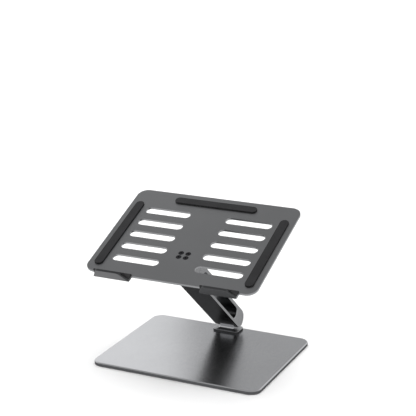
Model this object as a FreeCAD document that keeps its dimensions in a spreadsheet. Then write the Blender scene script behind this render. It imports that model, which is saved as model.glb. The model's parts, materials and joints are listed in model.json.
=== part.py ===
"""Two-hinge laptop stand: weighted base plate, one flat arm, tilting tray with two front hooks.

Frame: millimetres, +Z up, +X to the right of the person using it, -Y towards that person.
The origin is the middle of the mat's underside, on the desk.
Each hinge is built about its own axis, so both ends of the arm share the same functions.
"""
import FreeCAD, Part
import os
import re
from FreeCAD import Placement, Rotation, Vector

SIZES = (
    # base
    ("base_width", 240, "base plate, side to side"),
    ("base_depth", 200, "base plate, front to back"),
    ("base_thickness", 5, "base plate"),
    ("base_corner", 15, "base plate, corner radius"),
    ("base_bevel", 1.2, "base plate, bright bevel round the top"),
    ("base_break", 0.4, "base plate, broken edge round the underside"),
    ("mat_thickness", 1.4, "rubber mat under the base"),
    ("mat_proud", 0.6, "how far the mat stands out below the plate"),
    ("mat_margin", 5, "plate rim left round the mat"),
    ("mat_gap", 0.15, "gap between the mat and its recess"),
    # arm
    ("arm_length", 185, "arm, from hinge axis to hinge axis"),
    ("arm_width", 36, "arm, side to side"),
    ("arm_thickness", 25, "arm, front face to back face"),
    ("arm_front_wall", 4, "wall below the arm's window"),
    ("arm_back_wall", 5, "wall above the arm's window"),
    ("arm_root", 19, "solid end of the arm, from the axis to the window"),
    ("arm_bevel", 0.9, "bright bevel along the arm's outer edges"),
    ("window_bevel", 0.4, "bevel round the arm's window"),
    ("arm_rise", 39, "arm's angle above level, degrees"),
    ("nose_reach", 5, "how far the nose is open past the axis on the bracket's side"),
    # hinges
    ("nose_gap", 3, "gap between the arm's nose and the bracket's foot"),
    ("cheek_web", 1.88, "wall between the pocket and the recess in each cheek of the arm"),
    ("lug_radius", 8.5, "bracket lug, round the axis"),
    ("pocket_gap", 0.8, "gap between the lug and the pocket in the arm"),
    ("neck_inset", 1.5, "how much slimmer the neck below the lug is, front and back"),
    ("foot_width", 39, "bracket foot, side to side"),
    ("foot_toe", 6, "bracket foot, from the lug to its long end"),
    ("foot_heel", 2.5, "bracket foot, from the lug to its short end"),
    ("foot_rim", 1.5, "base rim left behind the lower bracket's foot"),
    ("foot_thickness", 3, "bracket foot"),
    ("foot_corner", 6, "bracket foot, corner radius"),
    ("foot_edge", 0.5, "rounding of the bracket foot's top edge"),
    ("neck_fillet", 3.4, "fillet between the neck and the foot"),
    ("neck_edge", 1.5, "rounding of the neck's upright edges"),
    ("shaft_radius", 4, "pivot shaft"),
    ("thread_radius", 3, "threaded end of the pivot shaft"),
    ("shaft_fit", 0.03, "gap between the shaft and the arm"),
    ("running_fit", 0.05, "gap between the shaft and the bush"),
    ("bush_wall", 1.5, "bronze bush"),
    ("press_gap", 0.01, "gap between the bush and the lug"),
    ("washer_thickness", 0.6, "friction washer"),
    ("washer_gap", 0.12, "gap between the friction washer and the lug"),
    ("washer_inset", 0.3, "rim of the lug left outside the friction washer"),
    ("head_radius", 6, "pivot shaft's head"),
    ("shaft_socket", 3.5, "hex socket in the pivot shaft's head, across its flats"),
    ("shaft_socket_depth", 1.6, "hex socket in the pivot shaft's head"),
    ("spring_radius", 6.4, "disc spring"),
    ("recess_gap", 0.9, "gap between the disc springs and the recess that holds them"),
    ("spring_thickness", 0.35, "disc spring, sheet thickness"),
    ("spring_rise", 0.15, "disc spring, height of the cone"),
    ("spring_gap", 0.02, "gap between one disc spring and the next"),
    ("nut_flats", 10, "lock nut, across its flats"),
    ("nut_height", 2, "lock nut"),
    ("cap_thickness", 1.2, "pivot cap"),
    ("cap_gap", 0.1, "gap between the pivot cap and its recess"),
    ("cap_space", 0.18, "gap between the pivot cap and the nut or head below it"),
    ("cap_edge", 0.3, "pivot cap, bevel round its face"),
    # countersunk screws
    ("screw_radius", 2, "bracket screw"),
    ("screw_head_radius", 3.8, "bracket screw's head"),
    ("screw_head_height", 2.1, "bracket screw's head"),
    ("screw_length", 11, "bracket screw, overall"),
    ("thread_spare", 1, "tapped hole, past the screw's end"),
    ("thread_gap", 0.1, "gap between the shaft's thread and the disc springs"),
    ("screw_fit", 0.1, "gap between a screw and its hole"),
    ("head_space", 1.2, "bracket screws, half the gap between two heads side by side"),
    ("head_space_along", 0.4, "bracket screws, half the gap between two heads front to back"),
    ("socket_flats", 2.5, "hex socket, across its flats"),
    ("socket_depth", 1.3, "hex socket"),
    # tray
    ("tray_tilt", 21.7, "tray's angle above level, degrees"),
    ("tray_width", 240, "tray, side to side"),
    ("tray_thickness", 3, "tray"),
    ("tray_front", 54, "tray, from the hinge axis to its front edge"),
    ("tray_back", 126, "tray, from the hinge axis to its back edge"),
    ("tray_corner", 14, "tray, corner radius"),
    ("tray_bevel", 0.6, "bevel round the tray"),
    ("vent_width", 13, "ventilation slot, front to back"),
    ("vent_inner", 26, "ventilation slot, nearest end to the middle"),
    ("vent_rim", 8, "tray left between a ventilation slot and the long pad"),
    ("vent_first", 22, "foremost ventilation slot, in front of the hinge axis"),
    ("vent_last", 22, "rearmost ventilation slot, in front of the back pad"),
    # front hooks
    ("hook_inset", 45.5, "middle of the hook, in from the tray's side"),
    ("hook_width", 49.5, "hook, at its bend"),
    ("hook_top_width", 32, "hook, at its top edge"),
    ("hook_lip", 17, "hook's lip, from the bend to the top edge"),
    ("hook_open", 22, "how far the lip leans out past square, degrees"),
    ("hook_reach", 6.2, "centre of the hook's bend, in front of the tray"),
    ("hook_root", 6, "how far the hook's tab runs into the tray"),
    ("bend_radius", 2, "inside of the hook's bend"),
    ("hook_round", 3, "rounding of the lip's top corners"),
    # rubber pads
    ("pad_thickness", 2, "rubber pads on the tray and in the hooks"),
    ("hook_pad_margin", 0.25, "hook's rim left at each end of its pad"),
    ("hook_pad_taper", 3, "hook pad, in from each end at its top edge"),
    ("hook_pad_lip", 12.4, "hook pad, up the lip"),
    ("hook_pad_sole", 8, "hook pad, back along the tab"),
    ("pad_edge", 0.6, "tray pad, rounding of its top edge"),
    ("pad_width", 12, "tray pad, across its length"),
    ("pad_flat", 0.1, "flat left in the middle of a tray pad's round end"),
    ("pad_inset", 14, "middle of the long tray pad, in from the tray's side"),
    ("pad_front", 13, "long tray pad, in from the tray's front edge"),
    ("pad_back", 29, "long tray pad, in from the tray's back edge"),
    ("back_pad_length", 120, "back tray pad, side to side"),
    ("back_pad_inset", 10, "back tray pad, in from the tray's back edge"),
)

DOC = FreeCAD.newDocument("laptop_stand")
SHEET = DOC.addObject("Spreadsheet::Sheet", "Sizes")
for row, (name, number, meaning) in enumerate(SIZES, start=1):
    SHEET.set(f"A{row}", meaning)
    SHEET.set(f"B{row}", str(number))
    SHEET.setAlias(f"B{row}", name)
DOC.recompute()

NAMES = re.compile(r"\b(" + "|".join(name for name, _, _ in SIZES) + r")\b")
UPRIGHT = Rotation()
ALONG_X = Rotation(Vector(0, 1, 0), 90)

OVER = "1"  # how far a cut runs past the face that it opens
NEAR = 1e-3  # edges closer than this to a level count as on it
VENTS = 5  # ventilation slots on each side

# places that several pieces share
HINGE_HEIGHT = "(foot_thickness + nose_gap + arm_thickness / 2)"
SPRING_HEIGHT = "(spring_thickness + spring_rise)"
SPRING_STACK = f"(2 * {SPRING_HEIGHT} + spring_gap)"
HEAD_HEIGHT = f"({SPRING_STACK} + nut_height)"
RECESS_DEPTH = f"({HEAD_HEIGHT} + cap_space + cap_thickness)"
RECESS_RADIUS = "(spring_radius + recess_gap)"
WEB_OUTSIDE = f"(arm_width / 2 - {RECESS_DEPTH})"
SLOT = f"(2 * ({WEB_OUTSIDE} - cheek_web))"
LUG_WIDTH = f"({SLOT} - 2 * (washer_thickness + washer_gap))"
BUSH_BORE = "(shaft_radius + running_fit)"
POCKET = "(lug_radius + pocket_gap)"
NECK = "(lug_radius - neck_inset)"
SCREW_ACROSS = "(screw_head_radius + head_space)"
SCREW_ALONG = "(screw_head_radius + head_space_along)"
FOOT_LONG = "(lug_radius + foot_toe)"
FOOT_SHORT = "(lug_radius + foot_heel)"
WINDOW_RADIUS = "((arm_thickness - arm_front_wall - arm_back_wall) / 2)"
WINDOW_MIDDLE = "((arm_front_wall - arm_back_wall) / 2)"
MAT_RECESS = "(mat_thickness - mat_proud)"
BASE_GRIP = f"(base_thickness - {MAT_RECESS})"
LOWER_Y = f"(base_depth / 2 - foot_rim - {FOOT_SHORT})"
LOWER_Z = f"(mat_proud + base_thickness + {HINGE_HEIGHT})"
UPPER_Y = f"({LOWER_Y} - arm_length * cos(arm_rise * 1 deg))"
UPPER_Z = f"({LOWER_Z} + arm_length * sin(arm_rise * 1 deg))"
TRAY_TOP = f"({HINGE_HEIGHT} + tray_thickness)"
PAD_ACROSS = "(tray_width / 2 - pad_inset)"
BACK_PAD_FRONT = "(tray_back - back_pad_inset - pad_width)"
VENT_OUTER = f"({PAD_ACROSS} - pad_width / 2 - vent_rim)"
VENT_PITCH = f"(({BACK_PAD_FRONT} - vent_last + vent_first) / {VENTS - 1})"
HOOK_ACROSS = "(tray_width / 2 - hook_inset)"
HOOK_PAD_WIDTH = "(hook_width - 2 * hook_pad_margin)"
BEND_Y = "(-tray_front - hook_reach)"
BEND_Z = f"({TRAY_TOP} + bend_radius)"
LIP_START = "(90 - hook_open)"


def bound(text):
    """The expression with each size name pointed at its spreadsheet cell."""
    return NAMES.sub(r"Sizes.\1", str(text))


def bind(thing, sizes):
    for prop, text in sizes.items():
        thing.setExpression(prop, bound(text))


def new_body(label):
    body = DOC.addObject("PartDesign::Body", label)
    body.Label = label
    return body


def solid(body, kind, name, at=(0, 0, 0), turn=UPRIGHT, **sizes):
    """Add or cut one primitive: kind is a PartDesign primitive, at and sizes are expressions."""
    piece = body.newObject("PartDesign::" + kind, f"{body.Name}_{name}")
    piece.Placement = Placement(Vector(), turn)
    bind(piece, sizes)
    bind(piece, {f"Placement.Base.{axis}": text for axis, text in zip("xyz", at)})
    return piece


def block(body, kind, name, low, size):
    return solid(body, kind + "Box", name, low, Length=size[0], Width=size[1], Height=size[2])


def rod(body, kind, name, radius, start, length, y="0", z="0"):
    """A cylinder along X, from start."""
    return solid(body, kind + "Cylinder", name, (start, y, z), ALONG_X, Radius=radius, Height=length)


def edge_names(shape, test):
    return [f"Edge{number}" for number, edge in enumerate(shape.Edges, start=1) if test(edge)]


def dress(body, kind, name, test, **sizes):
    """Fillet or chamfer the edges of the body so far that pass the test."""
    DOC.recompute()
    base = body.Tip
    feature = body.newObject("PartDesign::" + kind, f"{body.Name}_{name}")
    feature.Base = (base, edge_names(base.Shape, test))
    bind(feature, sizes)
    DOC.recompute()
    return feature


def span(edge, axis):
    box = edge.BoundBox
    return getattr(box, axis + "Min"), getattr(box, axis + "Max")


def is_upright(edge):
    return edge.BoundBox.XLength < NEAR and edge.BoundBox.YLength < NEAR


def lies_at(edge, axis, level):
    """True where the whole edge lies in the plane at this level of one axis."""
    return all(abs(end - level) < NEAR for end in span(edge, axis))


def within(edge, axis, reach):
    """True where no point of the edge is further out than this along one axis, to either side."""
    return all(abs(end) < reach + NEAR for end in span(edge, axis))


def number(text):
    """The value of an expression in the sizes."""
    value = SHEET.evalExpression(bound(text))
    return float(getattr(value, "Value", value))


def rides_base(thing):
    bind(thing, {"Placement.Base.y": LOWER_Y, "Placement.Base.z": LOWER_Z})


def rides_arm(thing):
    thing.Placement = Placement(Vector(), Rotation(Vector(-1, 0, 0), 30))
    bind(thing, {
        "Placement.Base.y": LOWER_Y,
        "Placement.Base.z": LOWER_Z,
        "Placement.Rotation.Angle": "arm_rise * 1 deg",
    })


def rides_arm_end(thing):
    """The upper hinge's pieces that turn with the arm, facing back along it."""
    thing.Placement = Placement(Vector(), Rotation(Vector(1, 0, 0), 30))
    bind(thing, {
        "Placement.Base.y": UPPER_Y,
        "Placement.Base.z": UPPER_Z,
        "Placement.Rotation.Angle": "(180 - arm_rise) * 1 deg",
    })


def rides_tray(thing):
    thing.Placement = Placement(Vector(), Rotation(Vector(1, 0, 0), 30))
    bind(thing, {
        "Placement.Base.y": UPPER_Y,
        "Placement.Base.z": UPPER_Z,
        "Placement.Rotation.Angle": "tray_tilt * 1 deg",
    })


def rides_under_tray(thing):
    """As rides_tray, turned half a turn so that the bracket's foot meets the tray."""
    thing.Placement = Placement(Vector(), Rotation(Vector(1, 0, 0), 30))
    bind(thing, {
        "Placement.Base.y": UPPER_Y,
        "Placement.Base.z": UPPER_Z,
        "Placement.Rotation.Angle": "(180 + tray_tilt) * 1 deg",
    })


# ---- base -------------------------------------------------------------------------------

def screw_places():
    for across in (-1, 1):
        for along in (-1, 1):
            yield f"{across} * {SCREW_ACROSS}", f"{along} * {SCREW_ALONG}"


def cut_screw_holes(body, y, head_z, grip, upwards):
    """Clearance holes and countersinks for one bracket, the heads flush at head_z."""
    turn = UPRIGHT if upwards else Rotation(Vector(1, 0, 0), 180)
    for hole, (across, along) in enumerate(screw_places(), start=1):
        at = (across, f"{y} + {along}", head_z)
        solid(body, "SubtractiveCone", f"Sink{hole}", at, turn,
              Radius1="screw_head_radius + screw_fit", Radius2="screw_radius + screw_fit",
              Height="screw_head_height")
        solid(body, "SubtractiveCylinder", f"Bore{hole}", at, turn,
              Radius="screw_radius + screw_fit", Height=f"{grip} + {OVER}")


def make_base_plate():
    body = new_body("base_plate")
    block(body, "Additive", "Plate", ("-base_width / 2", "-base_depth / 2", "mat_proud"),
          ("base_width", "base_depth", "base_thickness"))
    dress(body, "Fillet", "Corners", is_upright, Radius="base_corner")
    top = number("mat_proud + base_thickness")
    dress(body, "Chamfer", "TopBevel", lambda edge: lies_at(edge, "Z", top), Size="base_bevel")
    bottom = number("mat_proud")
    dress(body, "Chamfer", "BottomBevel", lambda edge: lies_at(edge, "Z", bottom), Size="base_break")
    margin = "(mat_margin - mat_gap)"
    block(body, "Subtractive", "MatRecess",
          (f"-base_width / 2 + {margin}", f"-base_depth / 2 + {margin}", "0"),
          (f"base_width - 2 * {margin}", f"base_depth - 2 * {margin}", "mat_thickness"))
    side = number(f"base_width / 2 - {margin}")
    dress(body, "Fillet", "RecessCorners",
          lambda edge: is_upright(edge) and (lies_at(edge, "X", side) or lies_at(edge, "X", -side)),
          Radius=f"base_corner - {margin}")
    cut_screw_holes(body, LOWER_Y, "mat_thickness", BASE_GRIP, upwards=True)


def make_base_mat():
    body = new_body("base_mat")
    block(body, "Additive", "Mat", ("-base_width / 2 + mat_margin", "-base_depth / 2 + mat_margin", "0"),
          ("base_width - 2 * mat_margin", "base_depth - 2 * mat_margin", "mat_thickness"))
    dress(body, "Fillet", "Corners", is_upright, Radius="base_corner - mat_margin")


# ---- hinges: each is built about its own axis, with the bracket's foot below ------------

def make_bracket(label, place, grip):
    """Foot, neck and lug in one piece; grip is the plate that its screws pass through."""
    body = new_body(label)
    block(body, "Additive", "Foot", ("-foot_width / 2", f"-{FOOT_LONG}", f"-{HINGE_HEIGHT}"),
          ("foot_width", f"{FOOT_LONG} + {FOOT_SHORT}", "foot_thickness"))
    dress(body, "Fillet", "FootCorners", is_upright, Radius="foot_corner")
    top = number(f"foot_thickness - {HINGE_HEIGHT}")
    dress(body, "Fillet", "FootEdge", lambda edge: lies_at(edge, "Z", top), Radius="foot_edge")
    block(body, "Additive", "Neck", (f"-{LUG_WIDTH} / 2", f"-{NECK}", f"foot_thickness - {HINGE_HEIGHT}"),
          (LUG_WIDTH, f"2 * {NECK}", f"{HINGE_HEIGHT} - foot_thickness"))
    rod(body, "Additive", "Lug", "lug_radius", f"-{LUG_WIDTH} / 2", LUG_WIDTH)
    side = number(f"{LUG_WIDTH} / 2")
    front = number(NECK)
    dress(body, "Fillet", "NeckEdges",
          lambda edge: is_upright(edge) and within(edge, "X", side) and within(edge, "Y", front),
          Radius="neck_edge")
    dress(body, "Fillet", "NeckFoot",
          lambda edge: lies_at(edge, "Z", top) and within(edge, "X", side) and within(edge, "Y", front),
          Radius="neck_fillet")
    rod(body, "Subtractive", "Bore", f"{BUSH_BORE} + bush_wall + press_gap",
        f"-{LUG_WIDTH} / 2 - {OVER}", f"{LUG_WIDTH} + 2 * {OVER}")
    for hole, (across, along) in enumerate(screw_places(), start=1):
        solid(body, "SubtractiveCylinder", f"Thread{hole}", (across, along, f"-{HINGE_HEIGHT}"),
              Radius="screw_radius + press_gap", Height=f"screw_length - {grip} + thread_spare")
    place(body)


def make_bush(label, place):
    body = new_body(label)
    rod(body, "Additive", "Sleeve", f"{BUSH_BORE} + bush_wall", f"-{LUG_WIDTH} / 2", LUG_WIDTH)
    rod(body, "Subtractive", "Bore", BUSH_BORE, f"-{LUG_WIDTH} / 2 - {OVER}", f"{LUG_WIDTH} + 2 * {OVER}")
    place(body)


def make_shaft(label, place):
    """Headed shaft, held in both cheeks of the arm: head on the left, thread on the right."""
    body = new_body(label)
    rod(body, "Additive", "Head", "head_radius", f"-{WEB_OUTSIDE} - {HEAD_HEIGHT}", HEAD_HEIGHT)
    rod(body, "Additive", "Shank", "shaft_radius", f"-{WEB_OUTSIDE}", f"2 * {WEB_OUTSIDE}")
    rod(body, "Additive", "Thread", "thread_radius", WEB_OUTSIDE, HEAD_HEIGHT)
    solid(body, "SubtractivePrism", "Socket", (f"-{WEB_OUTSIDE} - {HEAD_HEIGHT} - {OVER}", "0", "0"), ALONG_X,
          Polygon="6", Circumradius="shaft_socket / 2 / cos(30 deg)", Height=f"shaft_socket_depth + {OVER}")
    place(body)


def ring(name, inner, outer, start, length):
    """A loose ring along X, from Part primitives, for a node that holds more than one."""
    whole = DOC.addObject("Part::Cylinder", name + "_disc")
    hole = DOC.addObject("Part::Cylinder", name + "_hole")
    for cylinder, radius, begin, height in ((whole, outer, start, length),
                                            (hole, inner, f"{start} - {OVER}", f"{length} + 2 * {OVER}")):
        cylinder.Placement = Placement(Vector(), ALONG_X)
        bind(cylinder, {"Radius": radius, "Height": height, "Placement.Base.x": begin})
    cut = DOC.addObject("Part::Cut", name)
    cut.Base = whole
    cut.Tool = hole
    return cut


def group(label, pieces, place):
    node = DOC.addObject("Part::MultiFuse", label)
    node.Label = label
    node.Shapes = pieces
    place(node)


def make_washers(label, place):
    sizes = ("shaft_radius + shaft_fit", "lug_radius - washer_inset")
    pieces = [
        ring(label + "_left", *sizes, f"-{SLOT} / 2", "washer_thickness"),
        ring(label + "_right", *sizes, f"{SLOT} / 2 - washer_thickness", "washer_thickness"),
    ]
    group(label, pieces, place)


def cone(name, small, large, start, length, opens_right):
    piece = DOC.addObject("Part::Cone", name)
    piece.Placement = Placement(Vector(), ALONG_X)
    first, last = (small, large) if opens_right else (large, small)
    bind(piece, {"Radius1": first, "Radius2": last, "Height": length, "Placement.Base.x": start})
    return piece


def disc_spring(name, start, opens_right):
    """One coned disc spring: a cone with a flat rim, bored for the thread."""
    inner = "(thread_radius + thread_gap)"
    outer_cone = cone(name + "_body", inner, "spring_radius", start, SPRING_HEIGHT, opens_right)
    bore = DOC.addObject("Part::Cylinder", name + "_bore")
    bore.Placement = Placement(Vector(), ALONG_X)
    bind(bore, {"Radius": inner, "Height": f"{SPRING_HEIGHT} + 2 * {OVER}",
                "Placement.Base.x": f"{start} - {OVER}"})
    rim = DOC.addObject("Part::Cylinder", name + "_rim")
    rim.Placement = Placement(Vector(), ALONG_X)
    rim_start = f"{start} + spring_rise" if opens_right else start
    bind(rim, {"Radius": "spring_radius", "Height": "spring_thickness", "Placement.Base.x": rim_start})
    both = DOC.addObject("Part::Fuse", name + "_whole")
    both.Base = outer_cone
    both.Tool = rim
    cut = DOC.addObject("Part::Cut", name)
    cut.Base = both
    cut.Tool = bore
    return cut


def make_springs(label, place):
    pieces = [
        disc_spring(label + "_first", WEB_OUTSIDE, opens_right=True),
        disc_spring(label + "_second", f"{WEB_OUTSIDE} + {SPRING_HEIGHT} + spring_gap", opens_right=False),
    ]
    group(label, pieces, place)


def make_nut(label, place):
    body = new_body(label)
    start = f"{WEB_OUTSIDE} + {SPRING_STACK}"
    solid(body, "AdditivePrism", "Hex", (start, "0", "0"), ALONG_X,
          Polygon="6", Circumradius="nut_flats / 2 / cos(30 deg)", Height="nut_height")
    rod(body, "Subtractive", "Thread", "thread_radius + press_gap", f"{start} - {OVER}",
        f"nut_height + 2 * {OVER}")
    place(body)


def make_cap(label, place, side):
    """Flush cover disc in one cheek; side is -1 on the left and 1 on the right."""
    body = new_body(label)
    start = "arm_width / 2 - cap_thickness" if side > 0 else "-arm_width / 2"
    rod(body, "Additive", "Disc", f"{RECESS_RADIUS} - cap_gap", start, "cap_thickness")
    outer = side * number("arm_width / 2")
    dress(body, "Chamfer", "Rim", lambda edge: lies_at(edge, "X", outer), Size="cap_edge")
    place(body)


def make_screws(label, place, head_z):
    """Four countersunk screws; head_z is the head's flat face, below the hinge axis."""
    blanks = []
    sockets = []
    for count, (across, along) in enumerate(screw_places(), start=1):
        head = DOC.addObject("Part::Cone", f"{label}_head{count}")
        bind(head, {"Radius1": "screw_head_radius", "Radius2": "screw_radius", "Height": "screw_head_height"})
        shank = DOC.addObject("Part::Cylinder", f"{label}_shank{count}")
        bind(shank, {"Radius": "screw_radius", "Height": "screw_length"})
        socket = DOC.addObject("Part::Prism", f"{label}_socket{count}")
        bind(socket, {"Polygon": "6", "Circumradius": "socket_flats / 2 / cos(30 deg)",
                      "Height": "socket_depth"})
        for piece in (head, shank, socket):
            bind(piece, {"Placement.Base.x": across, "Placement.Base.y": along,
                         "Placement.Base.z": head_z})
        blanks += [head, shank]
        sockets.append(socket)
    solids = DOC.addObject("Part::MultiFuse", label + "_blanks")
    solids.Shapes = blanks
    keys = DOC.addObject("Part::MultiFuse", label + "_sockets")
    keys.Shapes = sockets
    node = DOC.addObject("Part::Cut", label)
    node.Label = label
    node.Base = solids
    node.Tool = keys
    place(node)


# ---- arm: lower axis at the origin, running towards -Y, its front face below ------------

def make_arm():
    body = new_body("arm_profile")
    half = "arm_thickness / 2"
    past_left = f"-arm_width / 2 - {OVER}"
    through = f"arm_width + 2 * {OVER}"
    block(body, "Additive", "Slab", ("-arm_width / 2", "-arm_length", f"-{half}"),
          ("arm_width", "arm_length", "arm_thickness"))
    rod(body, "Additive", "LowerNose", half, "-arm_width / 2", "arm_width")
    rod(body, "Additive", "UpperNose", half, "-arm_width / 2", "arm_width", y="-arm_length")
    side = number("arm_width / 2")

    def on_a_side(edge):
        return lies_at(edge, "X", side) or lies_at(edge, "X", -side)

    dress(body, "Chamfer", "OuterBevel", on_a_side, Size="arm_bevel")
    ends = (f"-arm_root - {WINDOW_RADIUS}", f"-arm_length + arm_root + {WINDOW_RADIUS}")
    block(body, "Subtractive", "Window", (past_left, ends[1], f"{WINDOW_MIDDLE} - {WINDOW_RADIUS}"),
          (through, f"({ends[0]}) - ({ends[1]})", f"2 * {WINDOW_RADIUS}"))
    for count, end in enumerate(ends, start=1):
        rod(body, "Subtractive", f"WindowEnd{count}", WINDOW_RADIUS, past_left, through,
            y=end, z=WINDOW_MIDDLE)
    walls_start = number(f"{WINDOW_RADIUS} + {WINDOW_MIDDLE}"), number(f"{WINDOW_RADIUS} - {WINDOW_MIDDLE}")
    dress(body, "Chamfer", "WindowBevel",
          lambda edge: on_a_side(edge) and within(edge, "Z", max(walls_start)), Size="window_bevel")
    # the lower nose opens forward and down, the upper one the opposite way
    reach = f"({half} + {OVER})"
    for end, axis, sign in (("Lower", "0", 1), ("Upper", "-arm_length", -1)):
        rod(body, "Subtractive", end + "Pocket", POCKET, f"-{SLOT} / 2", SLOT, y=axis)
        outside = axis if sign > 0 else f"{axis} - {reach}"
        block(body, "Subtractive", end + "Mouth", (f"-{SLOT} / 2", outside, f"-{reach}"),
              (SLOT, reach, f"2 * {reach}"))
        inside = f"{axis} - nose_reach" if sign > 0 else axis
        floor = f"-{reach}" if sign > 0 else "0"
        block(body, "Subtractive", end + "Relief", (f"-{SLOT} / 2", inside, floor),
              (SLOT, "nose_reach", reach))
        rod(body, "Subtractive", end + "Bore", "shaft_radius + shaft_fit", past_left, through, y=axis)
        rod(body, "Subtractive", end + "RecessLeft", RECESS_RADIUS, past_left,
            f"{RECESS_DEPTH} + {OVER}", y=axis)
        rod(body, "Subtractive", end + "RecessRight", RECESS_RADIUS, WEB_OUTSIDE,
            f"{RECESS_DEPTH} + {OVER}", y=axis)
    rides_arm(body)


# ---- tray: hinge axis at the origin, top face up, front towards -Y ----------------------

def make_tray():
    body = new_body("tray_plate")
    block(body, "Additive", "Plate", ("-tray_width / 2", "-tray_front", HINGE_HEIGHT),
          ("tray_width", "tray_front + tray_back", "tray_thickness"))
    dress(body, "Fillet", "Corners", is_upright, Radius="tray_corner")
    for name, level in (("TopBevel", number(TRAY_TOP)), ("UnderBevel", number(HINGE_HEIGHT))):
        dress(body, "Chamfer", name, lambda edge: lies_at(edge, "Z", level), Size="tray_bevel")
    for side, sign in (("Left", -1), ("Right", 1)):
        add_hook(body, side, f"{sign} * {HOOK_ACROSS}")
        for count in range(VENTS):
            cut_vent(body, f"Vent{side}{count + 1}", sign, f"({count} * {VENT_PITCH} - vent_first)")
    cut_screw_holes(body, "0", TRAY_TOP, "tray_thickness", upwards=False)
    rides_tray(body)


def lean():
    """The rotation that stands a hook's lip up out of the tray."""
    return Rotation(Vector(1, 0, 0), 90 + number("hook_open"))


def add_bend(body, name, kind, radius, low, width):
    """The quarter of a rod that a hook or its pad bends round."""
    turned = Rotation(Vector(1, 0, 0), number("hook_open") - 90).multiply(ALONG_X)
    solid(body, kind, name, (low, BEND_Y, BEND_Z), turned,
          Radius=radius, Height=width, Angle=f"{LIP_START} * 1 deg")


def add_lip(body, name, middle, inset, half, top_half, height, thickness):
    """A tapered lip; inset is from the bend's centre to the lip's inner face."""
    at = (middle, f"{BEND_Y} - {inset} * sin({LIP_START} * 1 deg)",
          f"{BEND_Z} - {inset} * cos({LIP_START} * 1 deg)")
    solid(body, "AdditiveWedge", name, at, lean(), Xmin=f"-{half}", Xmax=half,
          X2min=f"-{top_half}", X2max=top_half, Ymin="0", Ymax=height, Zmin="0", Zmax=thickness,
          Z2min="0", Z2max=thickness)


def add_hook(body, side, middle):
    """One hook: a tab in front of the tray, a bend, and a tapered lip that leans outwards."""
    low = f"{middle} - hook_width / 2"
    block(body, "Additive", side + "Tab", (low, BEND_Y, HINGE_HEIGHT),
          ("hook_width", "hook_reach + hook_root", "tray_thickness"))
    add_bend(body, side + "Bend", "AdditiveCylinder", "bend_radius + tray_thickness", low, "hook_width")
    rod(body, "Subtractive", side + "BendInside", "bend_radius",
        f"{low} - {OVER}", f"hook_width + 2 * {OVER}", y=BEND_Y, z=BEND_Z)
    add_lip(body, side + "Lip", middle, "bend_radius", "hook_width / 2", "hook_top_width / 2",
            "hook_lip", "tray_thickness")
    upwards = lean().multVec(Vector(0, 1, 0))
    bend = Vector(0, number(BEND_Y), number(BEND_Z))
    lip_height, thickness, centre = number("hook_lip"), number("tray_thickness"), number(middle)

    def is_top_corner(edge):
        return (abs(edge.Length - thickness) < NEAR and edge.BoundBox.XLength < NEAR
                and abs(edge.BoundBox.XMin - centre) < number("hook_width / 2") + NEAR
                and all(abs((end.Point - bend).dot(upwards) - lip_height) < NEAR for end in edge.Vertexes))

    dress(body, "Fillet", side + "LipCorners", is_top_corner, Radius="hook_round")


def cut_vent(body, name, sign, y):
    """One round-ended ventilation slot, on the side given by sign."""
    radius = "(vent_width / 2)"
    near = f"{sign} * (vent_inner + {radius})"
    far = f"{sign} * ({VENT_OUTER} - {radius})"
    low = near if sign > 0 else far
    floor = f"{HINGE_HEIGHT} - {OVER}"
    depth = f"tray_thickness + 2 * {OVER}"
    block(body, "Subtractive", name, (low, f"{y} - {radius}", floor),
          (f"{VENT_OUTER} - vent_inner - 2 * {radius}", "vent_width", depth))
    for count, end in enumerate((near, far), start=1):
        solid(body, "SubtractiveCylinder", f"{name}End{count}", (end, y, floor), Radius=radius, Height=depth)


def make_hook_pad(label, sign):
    """Rubber liner of one hook: along the tab, round the bend and up the lip."""
    body = new_body(label)
    middle = f"{sign} * {HOOK_ACROSS}"
    low = f"{middle} - {HOOK_PAD_WIDTH} / 2"
    block(body, "Additive", "Sole", (low, BEND_Y, TRAY_TOP),
          (HOOK_PAD_WIDTH, "hook_pad_sole", "pad_thickness"))
    add_bend(body, "Bend", "AdditiveCylinder", "bend_radius", low, HOOK_PAD_WIDTH)
    add_lip(body, "Lip", middle, "(bend_radius - pad_thickness)", f"{HOOK_PAD_WIDTH} / 2",
            f"({HOOK_PAD_WIDTH} / 2 - hook_pad_taper)", "hook_pad_lip", "pad_thickness")
    rides_tray(body)


def make_tray_pad(label, low, size):
    body = new_body(label)
    block(body, "Additive", "Strip", low, size)
    dress(body, "Fillet", "Ends", is_upright, Radius="(pad_width - pad_flat) / 2")
    top = number(f"{TRAY_TOP} + pad_thickness")
    dress(body, "Fillet", "TopEdge", lambda edge: lies_at(edge, "Z", top), Radius="pad_edge")
    rides_tray(body)


def make_tray_pads():
    for label, sign in (("tray_pad_left", "-1"), ("tray_pad_right", "1")):
        make_tray_pad(label, (f"{sign} * {PAD_ACROSS} - pad_width / 2", "pad_front - tray_front", TRAY_TOP),
                      ("pad_width", "tray_front + tray_back - pad_front - pad_back", "pad_thickness"))
    make_tray_pad("tray_pad_back", ("-back_pad_length / 2", BACK_PAD_FRONT, TRAY_TOP),
                  ("back_pad_length", "pad_width", "pad_thickness"))


make_base_plate()
make_base_mat()
make_arm()
make_tray()
for label, sign in (("hook_pad_left", "-1"), ("hook_pad_right", "1")):
    make_hook_pad(label, sign)
make_tray_pads()

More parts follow.
